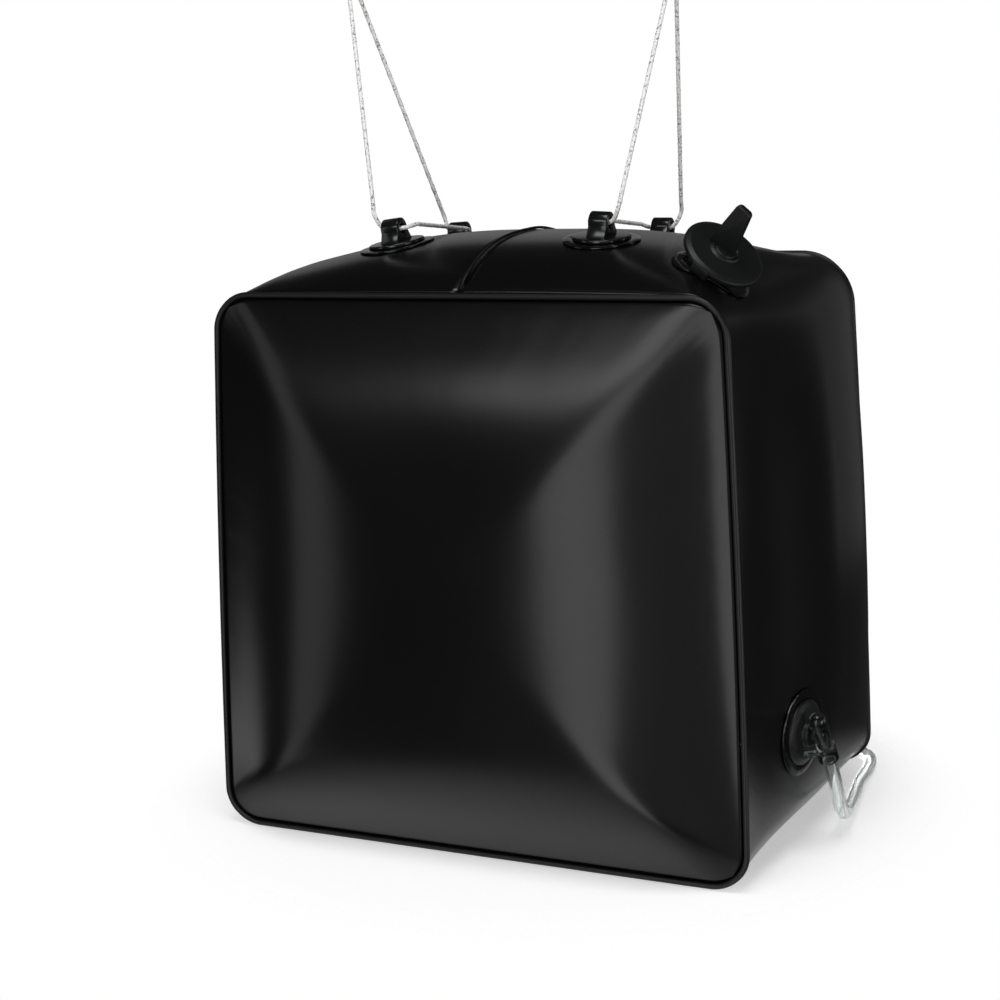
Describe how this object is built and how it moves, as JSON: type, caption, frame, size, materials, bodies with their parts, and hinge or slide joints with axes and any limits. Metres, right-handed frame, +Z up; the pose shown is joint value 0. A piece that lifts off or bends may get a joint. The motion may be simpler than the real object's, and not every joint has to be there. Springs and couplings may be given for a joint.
{
  "type": "camp shower bag",
  "caption": "Black cube-shaped water bag with two rope handles, a hinged filler cap on a top corner, and a low side outlet whose clear hose ends in a small shower head.",
  "frame": {"origin": "on the surface the full bag stands on, midway between the front and back welts and in the middle of the bag's width", "axes": "+Z up; the front panel faces -Y; the outlet side faces +X"},
  "size_m": [0.4191, 0.4248, 0.583],
  "materials": {
    "black_film": "satin",
    "black_welt": "satin",
    "black_moulding": "gloss",
    "clear_moulding": "clear gloss",
    "white_rope": "braided",
    "grey_rubber": "matte",
    "clear_hose": "clear gloss",
    "grey_plate": "satin"
  },
  "bodies": {
    "bag": {"front_panel": "black_film", "back_panel": "black_film", "gusset": "black_film", "front_welt": "black_welt", "back_welt": "black_welt", "top_seam_welt": "black_welt", "front_left_lug": "black_moulding", "front_left_lug_patch": "black_film", "front_right_lug": "black_moulding", "front_right_lug_patch": "black_film", "back_left_lug": "black_moulding", "back_left_lug_patch": "black_film", "back_right_lug": "black_moulding", "back_right_lug_patch": "black_film", "left_rope": "white_rope", "left_rope_knot": "white_rope", "right_rope": "white_rope", "right_rope_knot": "white_rope", "filler_flange": "black_film", "filler_neck": "black_moulding", "filler_cap_strap": "black_moulding", "outlet_patch": "black_film", "outlet_plate": "black_moulding", "outlet_washer": "grey_rubber", "outlet_nut": "black_moulding", "outlet_elbow": "clear_moulding", "hose_collar": "clear_moulding", "shower_hose": "clear_hose", "hose_coil": "clear_hose", "hose_tail": "clear_hose", "shower_head_valve": "black_moulding"},
    "cap": {"filler_cap": "black_moulding"},
    "rose": {"shower_rose": "black_moulding", "spray_plate": "grey_plate"}
  },
  "joints": [
    {"name": "cap_hinge", "type": "hinge", "parent": "bag", "child": "cap", "pos_m": [0.15312, -0.11078, 0.38543], "axis": [0.7674, 0.0111, -0.6411], "range_deg": [0, 120]},
    {"name": "rose_slide", "type": "slide", "parent": "bag", "child": "rose", "axis": [-1, 0, 0], "range_m": [0, 0.006]}
  ]
}
